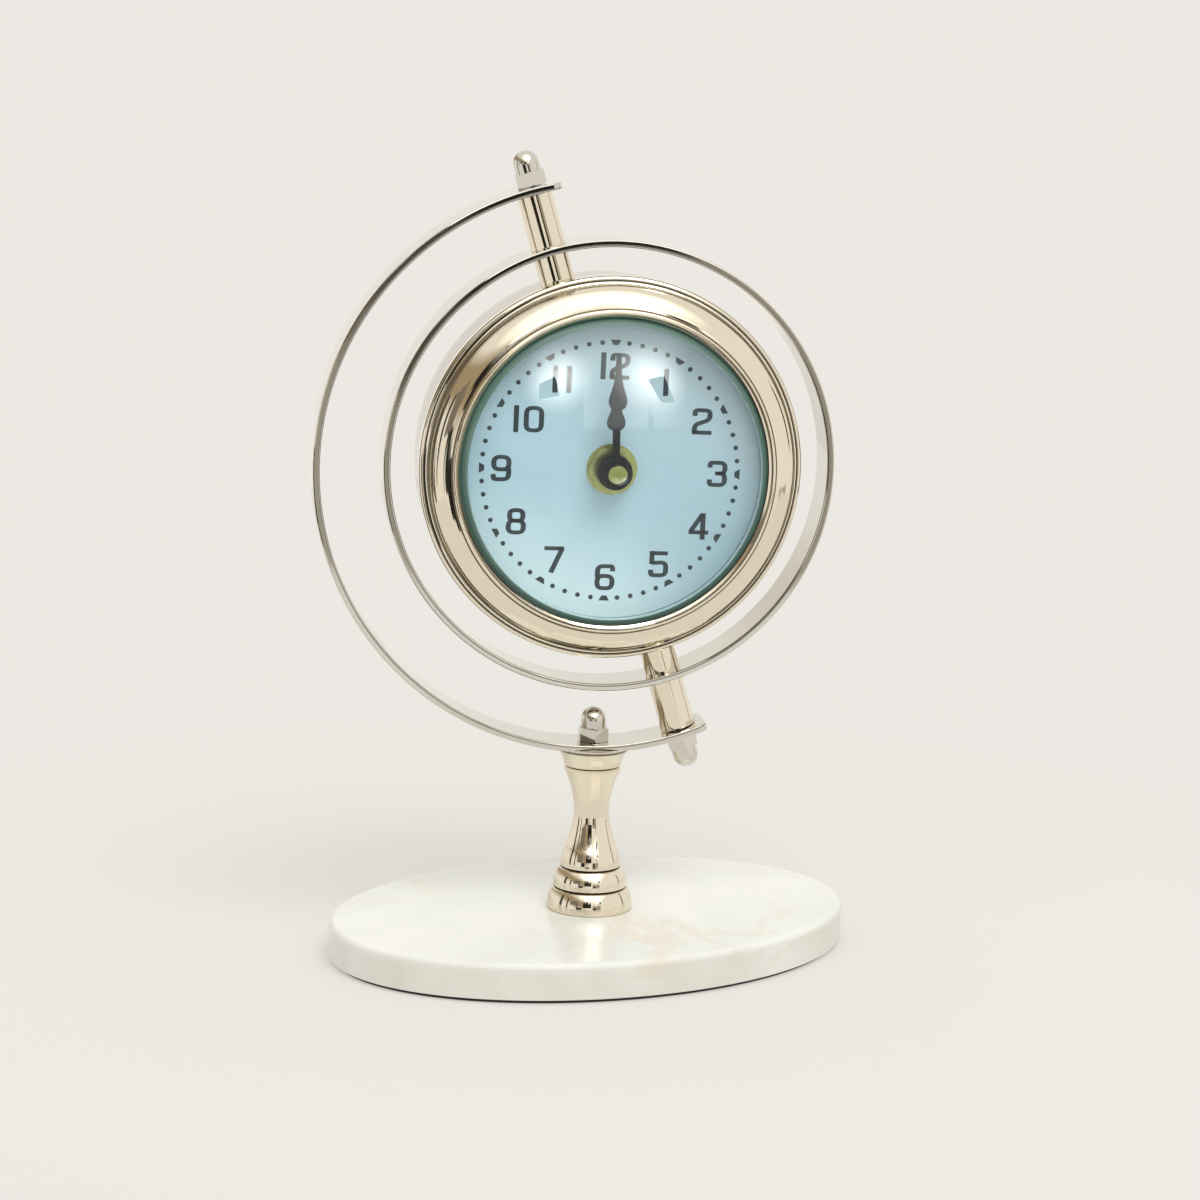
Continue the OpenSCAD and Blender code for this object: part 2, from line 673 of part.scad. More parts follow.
// Plate between the motion work and the going train
module train_plate() color(white_plastic) clock_piece() difference() {
    translate([-bay_l/2 + drop_gap, bay_top + mv_wall + drop_gap, plate_z])
        cube([bay_l - 2*drop_gap, mv_w/2 - 2*mv_wall - bay_top - 2*drop_gap, plate_t]);
    cyl(minute_r + run_gap, plate_z - over, plate_z + plate_t + over);
    at_place(setting_at) cyl(setting_shaft_r + run_gap, plate_z - over, plate_z + plate_t + over);
    for (p = [motion_at, third_at, fourth_at, rotor_at]) at_place(p)
        cyl(pivot_r + run_gap, plate_z - over, plate_z + plate_t + over);
}

board_w = 9;
board_gap = 2.5;
board_h = boss_z - boss_low_z - 2*boss_r - 2*board_gap;
board_t = wheel_t;
board_x = boss_x - boss_r - board_w/2 + mv_wall;
board_y = (boss_low_z + boss_z)/2;
// Height of the board above the cover, as a share of its thickness
board_lift_share = 1.2;
board_z = mv_in_back + board_t*board_lift_share;

// Cover of the train's hollow: its bosses carry the circuit board and hold the train plate
module movement_back() color(black) clock_piece() difference() {
    union() {
        translate([-bay_l/2 + run_gap, bay_top + mv_wall + run_gap, mv_back])
            cube([bay_l - 2*run_gap, mv_w/2 - 2*mv_wall - bay_top - 2*run_gap, mv_wall]);
        for (x = [-boss_x, boss_x], z = [boss_low_z, boss_z]) translate([x, z, 0])
            cyl(boss_r, mv_back, plate_z);
        for (dy = [-board_h/4, board_h/4]) translate([board_x, board_y + dy, 0]) cyl(boss_r/2, mv_back, board_z);
        // Bosses that carry the stator
        for (p = stator_feet) at_place(p) cyl(boss_r/2, mv_back, stator_z);
    }
    at_place(setting_at) cyl(setting_shaft_r + run_gap, mv_back - over, mv_in_back + over);
    for (p = [[0, 0], third_at, fourth_at, rotor_at]) at_place(p)
        cyl(pivot_r + run_gap, mv_in_back - pivot_h, mv_in_back + over);
}

// Battery and its contacts

battery_z = mv_in_front - battery_d/2;
battery_y = -mv_w/2 + mv_wall + battery_d/2;
button_r = 2.7;
button_h = 1.4;
contact_w = 9;
battery_x = bay_l/2 - contact_t - battery_l;

module battery() color([0.25, 0.30, 0.33]) clock_piece()
    translate([battery_x, battery_y, battery_z]) rotate([0, 90, 0]) union() {
        cylinder(r = battery_d/2, h = battery_l - button_h);
        cylinder(r = button_r, h = battery_l);
    }

// The plate at the button end lies flat on the bay's wall, the other is bent to a spring leaf
module battery_contacts() color(steel) clock_piece() translate([0, battery_y, battery_z]) {
    translate([bay_l/2 - contact_t, -contact_w/2, -contact_w/2]) cube([contact_t, contact_w, contact_w]);
    translate([-bay_l/2, contact_w/2, 0]) rotate([90, 0, 0]) linear_extrude(contact_w)
        polygon([[0, -contact_w/2], [contact_t, -contact_w/2], [contact_t, contact_w/4],
            [leaf_reach - contact_t, 0], [leaf_reach - contact_t, -contact_w/4], [leaf_reach, -contact_w/4],
            [leaf_reach, contact_t], [contact_t, contact_w/2], [0, contact_w/2]]);
}

// Stepping motor and circuit board

// The stator's plate lies under the fourth wheel, and the coil's flat core lies on its two legs
stator_t = wheel_t;
stator_w = 5;
stator_leg_w = 2.2;
stator_z = fourth_wheel_z - wheel_t - stator_t/2;
// Radius of the rotor's magnet in modules of the train
rotor_modules = 9;
rotor_r = train_m*rotor_modules;
rotor_gap = 0.4;
rotor_eye_w = 1.3;
coil_r = mv_depth*coil_share;
coil_l = 14;
coil_core_w = 2.4;
coil_flange_t = 0.8;
coil_y = mv_w/2 - mv_wall - drop_gap - coil_r;
coil_z = stator_z + stator_t*1.5;
stator_left = -boss_x + boss_r + 2*drop_gap;
coil_left = stator_left + stator_leg_w + play;
second_leg = coil_left + coil_l + play;
stator_feet = [for (share = [0.12, 0.6]) [stator_left + share*(second_leg - stator_left), rotor_at[1]]];

module coil() color([0.62, 0.30, 0.12]) clock_piece() union() {
    translate([coil_left, coil_y, coil_z]) rotate([0, 90, 0]) {
        cylinder(r = coil_r - play*3, h = coil_l);
        for (x = [0, coil_l - coil_flange_t]) translate([0, 0, x]) cylinder(r = coil_r, h = coil_flange_t);
    }
    translate([stator_left, coil_y - coil_core_w/2, stator_z + stator_t])
        cube([second_leg + stator_leg_w - stator_left, coil_core_w, stator_t]);
}

// A flat plate with a round eye for the rotor and two legs up to the ends of the coil's core
module stator() color(steel) clock_piece() translate([0, 0, stator_z]) linear_extrude(stator_t) difference() {
    union() {
        translate([stator_left, rotor_at[1] - stator_w/2]) square([rotor_at[0] - stator_left, stator_w]);
        translate(rotor_at) circle(r = rotor_r + rotor_gap + rotor_eye_w);
        for (x = [stator_left, second_leg]) translate([x, rotor_at[1]])
            square([stator_leg_w, coil_y - rotor_at[1] + coil_core_w/2]);
    }
    translate(rotor_at) circle(r = rotor_r + rotor_gap);
}

module rotor() color(steel) clock_piece() at_place(rotor_at) union() {
    cyl(rotor_r, stator_z - stator_t*0.7, stator_z + stator_t + play);
    toothed(train_pinion_n, train_m, rotor_phase, fourth_wheel_z - play, fourth_wheel_z + wheel_t + play);
    cyl(arbor_r, mv_in_back + play, plate_z - play);
    cyl(pivot_r, mv_in_back + play - pivot_h, plate_z + plate_t - play);
}

module circuit_board() color([0.55, 0.42, 0.18]) clock_piece()
    translate([board_x - board_w/2, board_y - board_h/2, board_z]) union() {
        cube([board_w, board_h, board_t]);
        // The chip under its drop of resin
        translate([board_w/2, board_h/2, board_t]) cylinder(r1 = board_w/4, r2 = board_w/6, h = board_t);
    }

// Wheels and arbors

// How deep the glass's hollow side lies at the distance r from its middle
function glass_under(r) = glass_top - glass_sphere_r + sqrt(pow(glass_sphere_r - glass_t, 2) - r*r);

// Levels of the hands: the minute hand's tip passes close under the glass, the hour hand below it
tip_gap = 0.2;
hands_gap = 1.9;
minute_l = glass_r - minute_gap;
hour_l = glass_r - hour_gap;
minute_hand_z = glass_under(minute_l) - tip_gap - hand_t;
hour_hand_z = minute_hand_z - hands_gap - hand_t;
pipe_end = hour_hand_z + hand_t;
minute_end = minute_hand_z + hand_t*5;
hand_nut_r = 2.6;
hand_nut_h = hand_t*7;
tip_r = minute_r - run_gap*6;

module minute_arbor() color(brass) clock_piece() union() {
    cyl(minute_r, centre_wheel_z + wheel_t + play, minute_hand_z);
    cyl(tip_r, minute_hand_z, minute_end);
    cyl(arbor_r, mv_in_back + play, centre_wheel_z + wheel_t + play);
    cyl(pivot_r, mv_in_back + play - pivot_h, mv_in_back + play);
    toothed(cannon_n, motion_m, cannon_phase, motion_z - play, motion_z + wheel_t + play);
}

// The centre wheel slips round the minute arbor when the hands are set
module centre_wheel() color(white_plastic) clock_piece() difference() {
    union() {
        toothed(centre_n, train_m, centre_phase, centre_wheel_z, centre_wheel_z + wheel_t);
        cyl(1.6*arbor_r, mv_in_back + play, centre_wheel_z + wheel_t);
    }
    cyl(arbor_r + run_gap, mv_in_back, centre_wheel_z + wheel_t + over);
    for (a = [0:90:270]) rotate([0, 0, a]) translate([centre_n*train_m/4 + arbor_r, 0, 0])
        cyl(centre_n*train_m/9, centre_wheel_z - over, centre_wheel_z + wheel_t + over);
}

module hour_wheel() color(white_plastic) clock_piece() difference() {
    union() {
        toothed(hour_n, motion_m, hour_phase, hour_wheel_z, hour_wheel_z + wheel_t);
        cyl(pipe_r, hour_wheel_z, pipe_end);
    }
    cyl(minute_r + run_gap, hour_wheel_z - over, pipe_end + over);
}

module motion_wheel() color(white_plastic) clock_piece() at_place(motion_at) union() {
    toothed(motion_n, motion_m, motion_phase, motion_z, motion_z + wheel_t);
    toothed(motion_pinion_n, motion_m, motion_pinion_phase, motion_z, hour_wheel_z + wheel_t + play);
    cyl(arbor_r, plate_z + plate_t + play, mv_in_front - play);
    cyl(pivot_r, plate_z + play, mv_in_front - play + pivot_h);
}

// A wheel of 60 with a pinion of 8 in front of it, on pivots in the back cover and the plate
module train_wheel(wheel_phase, pinion_phase, z) union() {
    toothed(train_n, train_m, wheel_phase, z, z + wheel_t);
    toothed(train_pinion_n, train_m, pinion_phase, z, z + 2*wheel_t + layer_gap + play);
    cyl(arbor_r, mv_in_back + play, plate_z - play);
    cyl(pivot_r, mv_in_back + play - pivot_h, plate_z + plate_t - play);
}

module third_wheel() color(white_plastic) clock_piece() at_place(third_at)
    train_wheel(third_phase, third_pinion_phase, third_wheel_z);

module fourth_wheel() color(white_plastic) clock_piece() at_place(fourth_at)
    train_wheel(fourth_phase, fourth_pinion_phase, fourth_wheel_z);

// Setting arbor with its pinion, which goes in from the front, and the knob pressed on behind
module setting_arbor() color(white_plastic) clock_piece() at_place(setting_at) union() {
    cyl(setting_shaft_r, mv_back - play - knob_h/2, motion_z);
    toothed(setting_n, motion_m, setting_phase, motion_z - play, motion_z + wheel_t + play);
    cyl(arbor_r, motion_z, mv_in_front - play);
    cyl(pivot_r, motion_z, mv_in_front - play + pivot_h);
}

knob_rib_n = 24;
knob_rib_r = 0.5;

module setting_knob() color(white_plastic) clock_piece() at_place(setting_at) difference() {
    cyl(knob_r, mv_back - play - knob_h, mv_back - play);
    for (i = [0:knob_rib_n - 1]) rotate([0, 0, 360*i/knob_rib_n]) translate([knob_r, 0, 0])
        cyl(knob_rib_r, mv_back - play - knob_h - over, mv_back + over);
    cyl(setting_shaft_r, mv_back - play - knob_h/2, mv_back + over);
}

// Hands

// Where the spade starts along a hand, as a share of its length
minute_spade_share = 0.53;
hour_spade_share = 0.465;
// The spade's outline: how far along it, and its half width, as shares of its length and half width
spade_shares = [[0, 0.33], [0.02, 0.6], [0.05, 0.8], [0.1, 0.94], [0.155, 1], [0.21, 0.97], [0.265, 0.87],
    [0.33, 0.73], [0.4, 0.6], [0.48, 0.48], [0.56, 0.39], [0.65, 0.33], [0.8, 0.3], [0.95, 0.28],
    [0.98, 0.21], [1, 0.08]];
stem_share = 0.33;

function spade_side(l, from) = [for (s = spade_shares) [s[1]*spade_w/2, l*(from + (1 - from)*s[0])]];

function mirrored(points) = [for (i = [len(points) - 1:-1:0]) [-points[i][0], points[i][1]]];

module spade_hand(l, from, eye_r, hole_r) let (side = concat([[stem_share*spade_w/2, 0]], spade_side(l, from)))
    difference() {
        union() {
            circle(r = eye_r);
            polygon(concat(side, mirrored(side)));
        }
        circle(r = hole_r);
    }

module hour_hand() color(black) clock_piece() union() {
    translate([0, 0, hour_hand_z]) linear_extrude(hand_t) spade_hand(hour_l, hour_spade_share, hub_r, pipe_r);
    tube((hub_r + pipe_r)/2, pipe_r, post_end + play*3, hour_hand_z);
}

module minute_hand() color(black) clock_piece() translate([0, 0, minute_hand_z]) linear_extrude(hand_t)
    spade_hand(minute_l, minute_spade_share, hub_r*0.94, tip_r);

module hand_nut() color(brass) clock_piece() difference() {
    union() {
        cyl(hand_nut_r, minute_hand_z + hand_t, minute_hand_z + hand_t + hand_nut_h - play*4);
        cyl(hand_nut_r - play*4, minute_hand_z + hand_t, minute_hand_z + hand_t + hand_nut_h);
    }
    cyl(tip_r + thread_gap, minute_hand_z, minute_end + play);
}

felt_pad();
marble_base();
base_washer();
base_nut();
tie_rod();
pillar();
meridian_arm();
pillar_nut();
ring();
outer_tubes();
inner_tubes();
pivot_rods();
axis_nuts();
lock_nuts();
drum_case();
bezel();
glass();
glass_seal();
glass_spacer();
dial();
post_washer();
post_nut();
movement_housing();
train_plate();
movement_back();
battery();
battery_contacts();
coil();
stator();
rotor();
circuit_board();
minute_arbor();
centre_wheel();
minute_hand();
hand_nut();
hour_wheel();
hour_hand();
motion_wheel();
third_wheel();
fourth_wheel();
setting_arbor();
setting_knob();
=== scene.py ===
# Globe desk clock in bright nickel on an oval of white marble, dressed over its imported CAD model.
# The object's frame is used throughout: metres, Z up, the dial faces -Y.
import math

import bpy
from mathutils import Euler, Matrix, Vector


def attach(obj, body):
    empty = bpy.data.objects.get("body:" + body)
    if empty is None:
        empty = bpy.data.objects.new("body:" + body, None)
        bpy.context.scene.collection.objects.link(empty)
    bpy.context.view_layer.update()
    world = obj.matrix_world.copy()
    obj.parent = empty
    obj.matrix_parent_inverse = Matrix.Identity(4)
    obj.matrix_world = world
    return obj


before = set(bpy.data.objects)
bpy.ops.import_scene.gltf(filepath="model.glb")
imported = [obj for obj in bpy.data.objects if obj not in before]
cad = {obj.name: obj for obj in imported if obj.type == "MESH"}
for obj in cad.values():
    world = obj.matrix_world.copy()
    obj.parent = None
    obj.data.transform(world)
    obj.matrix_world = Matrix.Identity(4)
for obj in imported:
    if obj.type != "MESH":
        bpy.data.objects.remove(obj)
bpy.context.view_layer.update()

# Table: a sheet of pale paper. Near the base it takes the object's shadow, and further out it
# glows at its own tone, so that it runs on into the room without a line.
scene = bpy.context.scene
scene.view_settings.view_transform = "Standard"
PAPER, PAPER_MATT = (0.838, 0.812, 0.768), (0.745, 0.72, 0.682)
PAPER_CORNERS = ((-0.40, -0.34, 0), (0.55, -0.34, 0), (0.55, 0.8, 0), (-0.40, 0.8, 0))
SHADOW_SHARE, SHADOW_FADES, SHADOW_ENDS = 0.55, 0.12, 0.30


class Socket:
    """An output of a shader node. Arithmetic on it adds Math nodes to its tree."""

    def __init__(self, output):
        self.output = output

    def maths(self, operation, *values):
        node = self.output.id_data.nodes.new("ShaderNodeMath")
        node.operation = operation
        for index, value in enumerate(values):
            plug(node.inputs[index], value)
        return Socket(node.outputs[0])

    def __add__(self, other):
        return self.maths("ADD", self, other)

    def __sub__(self, other):
        return self.maths("SUBTRACT", self, other)

    def __rsub__(self, other):
        return self.maths("SUBTRACT", other, self)

    def __mul__(self, other):
        return self.maths("MULTIPLY", self, other)

    def __pow__(self, other):
        return self.maths("POWER", self, other)

    def __gt__(self, other):
        return self.maths("GREATER_THAN", self, other)

    def __abs__(self):
        return self.maths("ABSOLUTE", self)

    __radd__ = __add__
    __rmul__ = __mul__


def plug(socket, value):
    """Links a socket to another, or writes a number or colour on it."""
    if isinstance(value, Socket):
        socket.id_data.links.new(value.output, socket)
    elif isinstance(value, tuple) and len(value) == 3 and socket.type == "RGBA":
        socket.default_value = (*value, 1)
    else:
        socket.default_value = value


class Finish:
    """A material, or the world, that is built node by node."""

    def __init__(self, name, world=False):
        self.owner = (bpy.data.worlds if world else bpy.data.materials).new(name)
        self.owner.use_nodes = True
        self.nodes = self.owner.node_tree.nodes
        self.nodes.clear()
        self.out = self.nodes.new("ShaderNodeOutputWorld" if world else "ShaderNodeOutputMaterial")

    def add(self, kind, sockets=None, out=0, **settings):
        """One node: first its settings, then the values or links of its sockets."""
        node = self.nodes.new("ShaderNode" + kind)
        for name, value in settings.items():
            setattr(node, name, value)
        for name, value in (sockets or {}).items():
            plug(node.inputs[name], value)
        return Socket(node.outputs[out])

    def place(self):
        """Where a point of the piece lies at rest."""
        return self.add("TexCoord", out="Object")

    def ray(self, kind):
        """1 for one kind of ray, such as Camera or Glossy, and else 0."""
        return self.add("LightPath", out=f"Is {kind} Ray")

    def along(self, place, way):
        """How far a place lies along a direction."""
        return self.add("VectorMath", {0: place, 1: way}, out="Value", operation="DOT_PRODUCT")

    def ramp(self, value, low, high):
        """0 below low, 1 above high."""
        return self.add("MapRange", {"Value": value, "From Min": low, "From Max": high})

    def between(self, value, rise, fall):
        """0 outside two ramps, 1 between them."""
        return self.ramp(value, *rise) * (1 - self.ramp(value, *fall))

    def mix(self, factor, a, b):
        """Goes from colour a to colour b."""
        return self.add("Mix", {0: factor, 6: a, 7: b}, out=2, data_type="RGBA")

    def noise(self, place, scale, detail=3.0, roughness=0.5, distortion=0.0):
        return self.add("TexNoise", {"Vector": place, "Scale": scale, "Detail": detail,
                                     "Roughness": roughness, "Distortion": distortion})

    def bump(self, height, distance):
        return self.add("Bump", {"Height": height, "Distance": distance, "Strength": 1.0})

    def glow(self, colour, strength=1.0):
        return self.add("Emission", {"Color": colour, "Strength": strength})

    def sky(self, colour, strength):
        return self.add("Background", {"Color": colour, "Strength": strength})

    def cover(self, share, under, over):
        """Lays one shader over another."""
        return self.add("MixShader", {0: share, 1: under, 2: over})

    def surface(self, shader):
        plug(self.out.inputs["Surface"], shader)
        return self.owner


def paper_finish():
    paper = Finish("pale_paper")
    radius = paper.add("VectorMath", {0: paper.add("NewGeometry")}, out="Value", operation="LENGTH")
    matt = paper.add("BsdfDiffuse", {"Color": PAPER_MATT})
    unshaded = 1 - SHADOW_SHARE + SHADOW_SHARE * paper.ramp(radius, SHADOW_FADES, SHADOW_ENDS)
    return paper.surface(paper.cover(unshaded, matt, paper.glow(PAPER)))


def stage_sheet(name, corners, material):
    """A flat sheet of the studio, from its corners."""
    mesh = bpy.data.meshes.new(name)
    mesh.from_pydata(corners, [], [range(len(corners))])
    mesh.materials.append(material)
    sheet = bpy.data.objects.new(name, mesh)
    scene.collection.objects.link(sheet)
    return sheet


stage_sheet("paper", PAPER_CORNERS, paper_finish())

# Room: large white flats round the table, with a brown screen at the upper left and a bright
# ceiling in front. Nickel, glass and matt surfaces each meet the room at a level of their own.
SCREEN_WAY, SCREEN_SIDE, CEILING_WAY = (-0.89, 0, 0.455), (0.455, 0, 0.89), (0.02, -0.56, 0.83)
SCREEN_TONE, CEILING_TONE = (0.36, 0.29, 0.19), (0.95, 0.94, 0.90)
MATT_TONE = (1.0, 0.992, 0.978)
BEHIND_GLASS_TONE, ON_GLASS_TONE = (1.0, 0.975, 0.96), (0.93, 0.98, 0.96)

# Where each form starts and is full, or ends, as a share of its direction
SCREEN_SIDES, SCREEN_END, CEILING_EDGE = (0.10, 0.26), (0.21, 0.42), (0.79, 0.91)
WALL_FOOT, WALL_TOP = (0.096, 0.13), (0.50, 0.62)
WALL_LEFT, WALL_RIGHT = (-0.26, -0.16), (0.38, 0.50)
TABLE_EDGE, DAYLIGHT_RISE = (-0.80, -0.60), (0.0, 0.75)

room = Finish("studio", world=True)
scene.world = room.owner
toward = room.add("TexCoord", out="Generated")
height, sideways = room.along(toward, (0, 0, 1)), room.along(toward, (1, 0, 0))

# Bright metal mirrors the flats
screen = (1 - room.ramp(abs(room.along(toward, SCREEN_SIDE)), *SCREEN_SIDES)) \
    * room.ramp(room.along(toward, SCREEN_WAY), *SCREEN_END)
ceiling = room.ramp(room.along(toward, CEILING_WAY), *CEILING_EDGE)
flats_tone = room.mix(screen, room.mix(ceiling, PAPER, CEILING_TONE), SCREEN_TONE)
on_nickel = room.sky(flats_tone, 1.12 + 0.6 * ceiling * (1 - screen))

# The dome mirrors a bright wall above the lens and the table round the base
wall = room.between(height, WALL_FOOT, WALL_TOP) * room.between(sideways, WALL_LEFT, WALL_RIGHT)
tabletop = 1 - room.ramp(height, *TABLE_EDGE)
on_glass = room.sky(ON_GLASS_TONE, 0.45 + 2.6 * wall + 1.8 * tabletop)

# Light that comes in through the dome falls on the dial, and the rest falls on matt surfaces
behind_glass = room.sky(BEHIND_GLASS_TONE, 1.11)
on_matt = room.sky(MATT_TONE, 0.47 + 0.565 * room.ramp(height, *DAYLIGHT_RISE))
shine = room.cover(room.ray("Transmission"), on_nickel, behind_glass)
shine = room.cover(room.ray("Singular") * room.ray("Reflection"), shine, on_glass)
unseen = room.cover(room.ray("Glossy"), on_matt, shine)
room.surface(room.cover(room.ray("Camera"), unseen, room.sky(PAPER, 1.0)))

# Gaps: upright dark strips between the flats, near the lens, and two brown ones where the front
# of the room is unlit. Nickel shows them as dark bands, and nothing else sees them.
GAP_WARMTH = (1, 0.9, 0.74)

# Name, degrees from straight in front, width, lowest and highest edge, shade, distance
GAPS = (("gap_middle_high", -14, 0.84, 0.25, 0.95, 0.02, 2.2),
        ("gap_middle_low", -22, 0.72, -1.30, -0.08, 0.02, 2.2),
        ("gap_left", -36, 0.56, -0.40, 0.25, 0.03, 2.2),
        ("gap_left_high", -50, 0.90, 0.25, 0.95, 0.22, 2.2),
        ("gap_far_left", -71, 0.16, -0.40, 0.95, 0.04, 2.2),
        ("gap_side", -92, 0.34, -1.30, 0.95, 0.10, 2.2),
        ("gap_right", 18, 0.06, 0.25, 0.95, 0.03, 2.2),
        ("gap_far_right", 94, 0.14, -1.30, 0.95, 0.06, 2.2),
        ("gap_edge", 7.4, 0.22, -0.30, 0.25, 0.02, 2.2),
        ("gap_edge_left", 3.6, 0.10, -0.12, 0.25, 0.10, 2.2),
        ("brown_front", 12, 0.90, -0.31, 0.35, 0.42, 2.3),
        ("brown_right", 62, 1.20, -1.30, -0.35, 0.50, 2.3))


def shaded(colour, share):
    return tuple(share * c for c in colour)


def glowing(name, colour):
    finish = Finish(name)
    return finish.surface(finish.glow(colour))


def gloss_only(sheet):
    """Only shine shows this sheet: it neither lights, shades nor is seen."""
    sheet.visible_camera = sheet.visible_diffuse = False
    sheet.visible_shadow = sheet.visible_transmission = False


def upright(middle, side, low, high):
    """Corners of an upright sheet, from its middle and half width on the floor and its levels."""
    return [foot + Vector((0, 0, level)) for foot, level in (
        (middle - side, low), (middle + side, low), (middle + side, high), (middle - side, high))]


for name, azimuth, width, low, high, shade, distance in GAPS:
    a = math.radians(azimuth)
    middle = Vector((math.sin(a), -math.cos(a), 0)) * distance
    side = Vector((math.cos(a), math.sin(a), 0)) * width / 2
    gloss_only(stage_sheet(name, upright(middle, side, low, high),
                           glowing(name, shaded(GAP_WARMTH, shade))))

# Lights: a soft box above the lens lights the object. Two umbrellas are mirrored in the dome over
# 11 and 1, each brightest in its middle and behind the black back of its lamp.
SOFT_BOX_PLACE, SOFT_BOX_AIM = Vector((0.38, -1.28, 1.9)), Vector((0, 0, 0.10))
UMBRELLA_TONE, UMBRELLA_STRENGTH = (1.0, 0.985, 0.96), 24.0
UMBRELLA_CORE, UMBRELLA_FALL = 0.1, 1.3    # share of its reach at full shine, and how it falls off
NICKEL_SHARE = 0.06    # how much of its shine nickel shows
LAMP_Y, LAMP_BLACK = -1.70, (0.02, 0.02, 0.02)

soft_light = bpy.data.lights.new("soft_box_above", "AREA")
soft_light.shape, soft_light.size, soft_light.size_y = "RECTANGLE", 1.3, 0.9
soft_light.energy, soft_light.color = 18, (1.0, 0.98, 0.95)
soft_box = bpy.data.objects.new("soft_box_above", soft_light)
scene.collection.objects.link(soft_box)
soft_box.location = SOFT_BOX_PLACE
soft_box.rotation_euler = (SOFT_BOX_AIM - SOFT_BOX_PLACE).to_track_quat("-Z", "Y").to_euler()


def umbrella(name, place, reach, lamp_outline):
    cloth = Finish(name)
    away = cloth.add("VectorMath", {0: cloth.add("NewGeometry"), 1: place}, out="Value",
                     operation="DISTANCE")
    fade = (1 - cloth.ramp(away, UMBRELLA_CORE * reach, reach)) ** UMBRELLA_FALL
    share = NICKEL_SHARE + (1 - NICKEL_SHARE) * cloth.ray("Singular")
    cloth.surface(cloth.cover(fade * share, cloth.add("BsdfTransparent"),
                              cloth.glow(UMBRELLA_TONE, UMBRELLA_STRENGTH)))
    x, y, z = place
    gloss_only(stage_sheet(name, upright(Vector((x, y, 0)), Vector((reach, 0, 0)),
                                         z - reach, z + reach), cloth.owner))
    gloss_only(stage_sheet(name + "_lamp", [(a, LAMP_Y, b) for a, b in lamp_outline],
                           glowing(name + "_lamp", LAMP_BLACK)))


umbrella("umbrella_left", (-0.385, -1.85, 0.90), 0.42,
         ((-0.534, 0.619), (-0.327, 0.659), (-0.382, 0.863), (-0.544, 0.78)))
umbrella("umbrella_right", (0.635, -1.83, 0.905), 0.48,
         ((0.68, 0.597), (0.846, 0.597), (0.746, 0.883), (0.554, 0.83)))

# Lens: fitted to the photograph's circles and edges. It stands a little to the left of the dial's
# axis, above its centre, and looks down.
RING_CENTRE = Vector((0.0021105, 0, 0.1379212))
LENS_PLACE = RING_CENTRE + Vector((-0.1359600, -0.9226114, 0.1384393))
LENS_TURN, LENS_DIP, LENS_ROLL = -0.1451642, -0.1873136, -0.0240

lens = bpy.data.cameras.new("lens")
lens.lens, lens.sensor_width = 102, 36
camera = bpy.data.objects.new("camera", lens)
scene.collection.objects.link(camera)
camera.location = LENS_PLACE
right, ahead, up = (Euler((0, 0, LENS_TURN)).to_matrix() @ Euler((LENS_DIP, 0, 0)).to_matrix()
                    @ Euler((0, LENS_ROLL, 0)).to_matrix()).col
camera.rotation_euler = Matrix((right, up, -ahead)).transposed().to_euler()
scene.camera = camera

# Base: an oval sawn from white marble with faint peach veins and grey-green clouds, rounded at its
# upper edge and polished. Black felt is glued underneath, a little inside the edge.
MARBLE_WHITE, MARBLE_PEACH = (0.838, 0.838, 0.795), (0.765, 0.628, 0.46)
MARBLE_CLOUD, MARBLE_DRIFT = (0.742, 0.762, 0.70), (0.69, 0.71, 0.65)
# Painted shade: the side below the rounded edge is darker and warmer, in patches.
MARBLE_SIDE_SHADE, SIDE_SHADE_FADES, SIDE_SHADE_ENDS = (0.68, 0.647, 0.555), 0.0080, 0.0108
VEIN_HALF, VEIN_SHARE, DRIFT_SHARE = 0.035, 0.55, 0.5
FELT_DARK, FELT_PALE = (0.012, 0.012, 0.013), (0.035, 0.034, 0.034)


def height_of(finish):
    """Height above the desk, in metres."""
    return finish.add("SeparateXYZ", {0: finish.place()}, out="Z")


def marble_finish():
    marble = Finish("white_marble")
    place = marble.place()
    cloud = marble.noise(place, scale=22, detail=5, roughness=0.55, distortion=0.6)
    drift = marble.noise(place, scale=9, detail=4, roughness=0.6, distortion=1.2)
    vein = marble.noise(place, scale=14, detail=8, roughness=0.62, distortion=1.8)
    line = 1 - marble.ramp(abs(vein - 0.5), 0.0, VEIN_HALF)
    patchy = marble.ramp(marble.noise(place, scale=17, detail=2), 0.45, 0.7)
    # Painted shade on the side below the rounded edge
    foot = 1 - marble.ramp(height_of(marble), SIDE_SHADE_FADES, SIDE_SHADE_ENDS)
    side_shade_patches = 0.08 + 0.6 * marble.ramp(drift, 0.38, 0.62)
    tone = marble.mix(marble.ramp(cloud, 0.35, 0.75), MARBLE_WHITE, MARBLE_CLOUD)
    tone = marble.mix(marble.ramp(drift, 0.52, 0.78) * DRIFT_SHARE, tone, MARBLE_DRIFT)
    tone = marble.mix(line * patchy * VEIN_SHARE, tone, MARBLE_PEACH)
    tone = marble.mix(foot * side_shade_patches, tone, MARBLE_SIDE_SHADE)
    grain = marble.noise(place, scale=900, detail=2)
    return marble.surface(marble.add("BsdfPrincipled", {
        "Base Color": tone, "Roughness": 0.16 + 0.10 * cloud, "Specular IOR Level": 0.42,
        "Subsurface Weight": 0.12, "Subsurface Radius": (0.004, 0.004, 0.003),
        "Subsurface Scale": 1.0, "Normal": marble.bump(grain, distance=0.000012)}))


def felt_finish():
    felt = Finish("black_felt")
    fibre = felt.noise(felt.place(), scale=2600, detail=3, roughness=0.7)
    return felt.surface(felt.add("BsdfPrincipled", {
        "Base Color": felt.mix(fibre, FELT_DARK, FELT_PALE), "Roughness": 0.95,
        "Sheen Weight": 0.3, "Normal": felt.bump(fibre, distance=0.0002)}))


